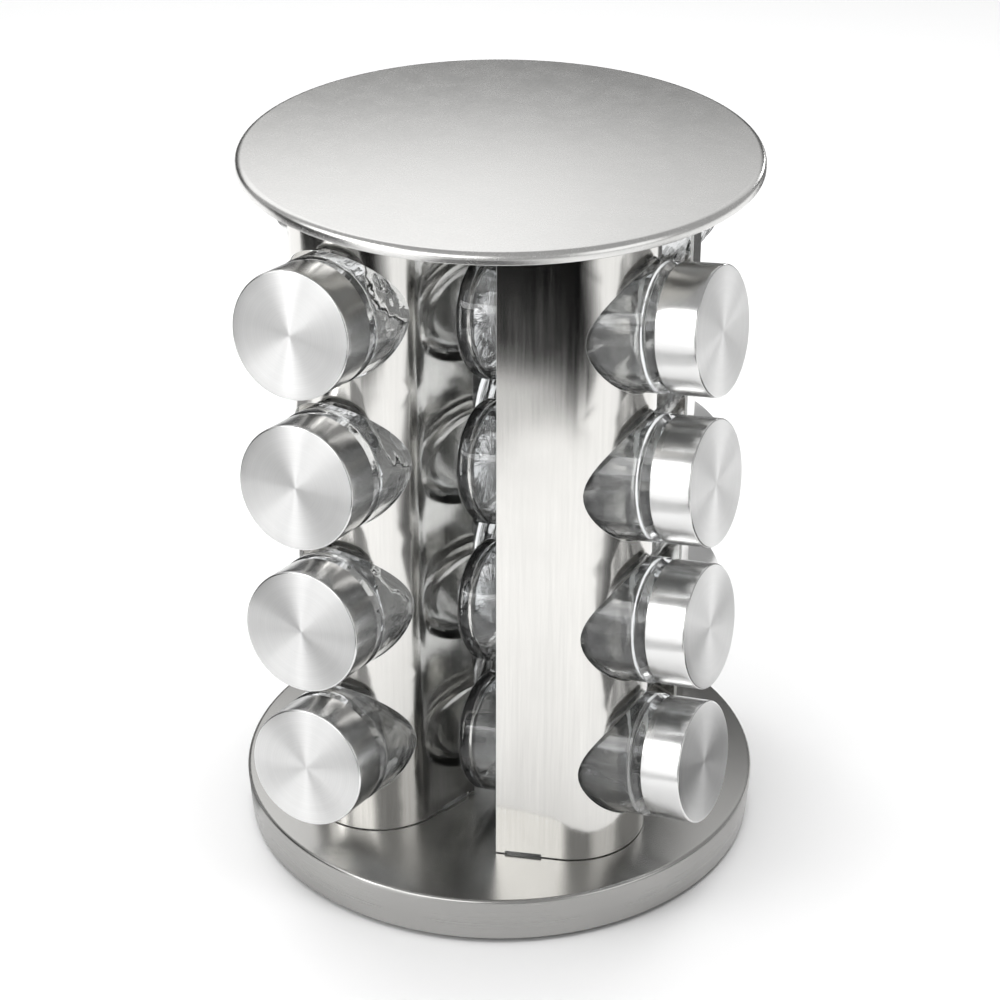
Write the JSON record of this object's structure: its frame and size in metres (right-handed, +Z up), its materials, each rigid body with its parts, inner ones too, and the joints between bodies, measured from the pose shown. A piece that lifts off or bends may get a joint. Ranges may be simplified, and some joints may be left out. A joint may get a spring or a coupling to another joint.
{
  "type": "spice carousel",
  "caption": "Revolving steel spice rack: curved towers with round holes hold capped glass jars on a turning round base, under a round lid.",
  "frame": {"origin": "on the table under the turning axis, at the bottom of the rubber feet", "axes": "+Z up along the turning axis, +X the way the jars of tower 1 point"},
  "size_m": [0.2072, 0.2072, 0.2784],
  "materials": {
    "zinc_plate": "zinc-plated pressed steel, dull",
    "rubber": "matte black rubber",
    "ball_steel": "polished steel balls",
    "dish_steel": "polished stainless steel with fine spun grain",
    "lid_steel": "fine satin stainless steel",
    "sheet_steel": "vertically brushed stainless steel sheet",
    "cap_steel": "spun stainless steel with a bright edge",
    "jar_glass": "clear moulded glass",
    "liner_plastic": "off-white moulded polypropylene"
  },
  "bodies": {
    "turntable_foot": {"foot_plate": "zinc_plate", "rubber_feet": "rubber", "bearing_balls": "ball_steel"},
    "carousel": {"bearing_upper_race": "zinc_plate", "hub_eyelet": "zinc_plate", "base_dish": "dish_steel", "top_carrier": "sheet_steel", "lid": "lid_steel", "tower_1": "sheet_steel", "tower_2": "sheet_steel", "tower_3": "sheet_steel", "tower_4": "sheet_steel"},
    "jar_1a": {"jar_1a_glass": "jar_glass"},
    "cap_1a": {"jar_1a_cap_shell": "cap_steel", "jar_1a_cap_liner": "liner_plastic"},
    "jar_1b": {"jar_1b_glass": "jar_glass"},
    "cap_1b": {"jar_1b_cap_shell": "cap_steel", "jar_1b_cap_liner": "liner_plastic"},
    "jar_1c": {"jar_1c_glass": "jar_glass"},
    "cap_1c": {"jar_1c_cap_shell": "cap_steel", "jar_1c_cap_liner": "liner_plastic"},
    "jar_1d": {"jar_1d_glass": "jar_glass"},
    "cap_1d": {"jar_1d_cap_shell": "cap_steel", "jar_1d_cap_liner": "liner_plastic"},
    "jar_2a": {"jar_2a_glass": "jar_glass"},
    "cap_2a": {"jar_2a_cap_shell": "cap_steel", "jar_2a_cap_liner": "liner_plastic"},
    "jar_2b": {"jar_2b_glass": "jar_glass"},
    "cap_2b": {"jar_2b_cap_shell": "cap_steel", "jar_2b_cap_liner": "liner_plastic"},
    "jar_2c": {"jar_2c_glass": "jar_glass"},
    "cap_2c": {"jar_2c_cap_shell": "cap_steel", "jar_2c_cap_liner": "liner_plastic"},
    "jar_2d": {"jar_2d_glass": "jar_glass"},
    "cap_2d": {"jar_2d_cap_shell": "cap_steel", "jar_2d_cap_liner": "liner_plastic"},
    "jar_3a": {"jar_3a_glass": "jar_glass"},
    "cap_3a": {"jar_3a_cap_shell": "cap_steel", "jar_3a_cap_liner": "liner_plastic"},
    "jar_3b": {"jar_3b_glass": "jar_glass"},
    "cap_3b": {"jar_3b_cap_shell": "cap_steel", "jar_3b_cap_liner": "liner_plastic"},
    "jar_3c": {"jar_3c_glass": "jar_glass"},
    "cap_3c": {"jar_3c_cap_shell": "cap_steel", "jar_3c_cap_liner": "liner_plastic"},
    "jar_3d": {"jar_3d_glass": "jar_glass"},
    "cap_3d": {"jar_3d_cap_shell": "cap_steel", "jar_3d_cap_liner": "liner_plastic"},
    "jar_4a": {"jar_4a_glass": "jar_glass"},
    "cap_4a": {"jar_4a_cap_shell": "cap_steel", "jar_4a_cap_liner": "liner_plastic"},
    "jar_4b": {"jar_4b_glass": "jar_glass"},
    "cap_4b": {"jar_4b_cap_shell": "cap_steel", "jar_4b_cap_liner": "liner_plastic"},
    "jar_4c": {"jar_4c_glass": "jar_glass"},
    "cap_4c": {"jar_4c_cap_shell": "cap_steel", "jar_4c_cap_liner": "liner_plastic"},
    "jar_4d": {"jar_4d_glass": "jar_glass"},
    "cap_4d": {"jar_4d_cap_shell": "cap_steel", "jar_4d_cap_liner": "liner_plastic"}
  },
  "joints": [
    {"name": "carousel_spin", "type": "hinge", "parent": "turntable_foot", "child": "carousel", "pos_m": [0, 0, 0.0115], "axis": [0, 0, 1], "continuous": true},
    {"name": "jar_1a_pull", "type": "slide", "parent": "carousel", "child": "jar_1a", "axis": [0.9903, 0, 0.1392], "range_m": [0, 0.09]},
    {"name": "cap_1a_off", "type": "slide", "parent": "jar_1a", "child": "cap_1a", "axis": [0.9903, 0, 0.1392], "range_m": [0, 0.04]},
    {"name": "jar_1b_pull", "type": "slide", "parent": "carousel", "child": "jar_1b", "axis": [0.9903, 0, 0.1392], "range_m": [0, 0.09]},
    {"name": "cap_1b_off", "type": "slide", "parent": "jar_1b", "child": "cap_1b", "axis": [0.9903, 0, 0.1392], "range_m": [0, 0.04]},
    {"name": "jar_1c_pull", "type": "slide", "parent": "carousel", "child": "jar_1c", "axis": [0.9903, 0, 0.1392], "range_m": [0, 0.09]},
    {"name": "cap_1c_off", "type": "slide", "parent": "jar_1c", "child": "cap_1c", "axis": [0.9903, 0, 0.1392], "range_m": [0, 0.04]},
    {"name": "jar_1d_pull", "type": "slide", "parent": "carousel", "child": "jar_1d", "axis": [0.9903, 0, 0.1392], "range_m": [0, 0.09]},
    {"name": "cap_1d_off", "type": "slide", "parent": "jar_1d", "child": "cap_1d", "axis": [0.9903, 0, 0.1392], "range_m": [0, 0.04]},
    {"name": "jar_2a_pull", "type": "slide", "parent": "carousel", "child": "jar_2a", "axis": [0, 0.9903, 0.1392], "range_m": [0, 0.09]},
    {"name": "cap_2a_off", "type": "slide", "parent": "jar_2a", "child": "cap_2a", "axis": [0, 0.9903, 0.1392], "range_m": [0, 0.04]},
    {"name": "jar_2b_pull", "type": "slide", "parent": "carousel", "child": "jar_2b", "axis": [0, 0.9903, 0.1392], "range_m": [0, 0.09]},
    {"name": "cap_2b_off", "type": "slide", "parent": "jar_2b", "child": "cap_2b", "axis": [0, 0.9903, 0.1392], "range_m": [0, 0.04]},
    {"name": "jar_2c_pull", "type": "slide", "parent": "carousel", "child": "jar_2c", "axis": [0, 0.9903, 0.1392], "range_m": [0, 0.09]},
    {"name": "cap_2c_off", "type": "slide", "parent": "jar_2c", "child": "cap_2c", "axis": [0, 0.9903, 0.1392], "range_m": [0, 0.04]},
    {"name": "jar_2d_pull", "type": "slide", "parent": "carousel", "child": "jar_2d", "axis": [0, 0.9903, 0.1392], "range_m": [0, 0.09]},
    {"name": "cap_2d_off", "type": "slide", "parent": "jar_2d", "child": "cap_2d", "axis": [0, 0.9903, 0.1392], "range_m": [0, 0.04]},
    {"name": "jar_3a_pull", "type": "slide", "parent": "carousel", "child": "jar_3a", "axis": [-0.9903, 0, 0.1392], "range_m": [0, 0.09]},
    {"name": "cap_3a_off", "type": "slide", "parent": "jar_3a", "child": "cap_3a", "axis": [-0.9903, 0, 0.1392], "range_m": [0, 0.04]},
    {"name": "jar_3b_pull", "type": "slide", "parent": "carousel", "child": "jar_3b", "axis": [-0.9903, 0, 0.1392], "range_m": [0, 0.09]},
    {"name": "cap_3b_off", "type": "slide", "parent": "jar_3b", "child": "cap_3b", "axis": [-0.9903, 0, 0.1392], "range_m": [0, 0.04]},
    {"name": "jar_3c_pull", "type": "slide", "parent": "carousel", "child": "jar_3c", "axis": [-0.9903, 0, 0.1392], "range_m": [0, 0.09]},
    {"name": "cap_3c_off", "type": "slide", "parent": "jar_3c", "child": "cap_3c", "axis": [-0.9903, 0, 0.1392], "range_m": [0, 0.04]},
    {"name": "jar_3d_pull", "type": "slide", "parent": "carousel", "child": "jar_3d", "axis": [-0.9903, 0, 0.1392], "range_m": [0, 0.09]},
    {"name": "cap_3d_off", "type": "slide", "parent": "jar_3d", "child": "cap_3d", "axis": [-0.9903, 0, 0.1392], "range_m": [0, 0.04]},
    {"name": "jar_4a_pull", "type": "slide", "parent": "carousel", "child": "jar_4a", "axis": [0, -0.9903, 0.1392], "range_m": [0, 0.09]},
    {"name": "cap_4a_off", "type": "slide", "parent": "jar_4a", "child": "cap_4a", "axis": [0, -0.9903, 0.1392], "range_m": [0, 0.04]},
    {"name": "jar_4b_pull", "type": "slide", "parent": "carousel", "child": "jar_4b", "axis": [0, -0.9903, 0.1392], "range_m": [0, 0.09]},
    {"name": "cap_4b_off", "type": "slide", "parent": "jar_4b", "child": "cap_4b", "axis": [0, -0.9903, 0.1392], "range_m": [0, 0.04]},
    {"name": "jar_4c_pull", "type": "slide", "parent": "carousel", "child": "jar_4c", "axis": [0, -0.9903, 0.1392], "range_m": [0, 0.09]},
    {"name": "cap_4c_off", "type": "slide", "parent": "jar_4c", "child": "cap_4c", "axis": [0, -0.9903, 0.1392], "range_m": [0, 0.04]},
    {"name": "jar_4d_pull", "type": "slide", "parent": "carousel", "child": "jar_4d", "axis": [0, -0.9903, 0.1392], "range_m": [0, 0.09]},
    {"name": "cap_4d_off", "type": "slide", "parent": "jar_4d", "child": "cap_4d", "axis": [0, -0.9903, 0.1392], "range_m": [0, 0.04]}
  ]
}
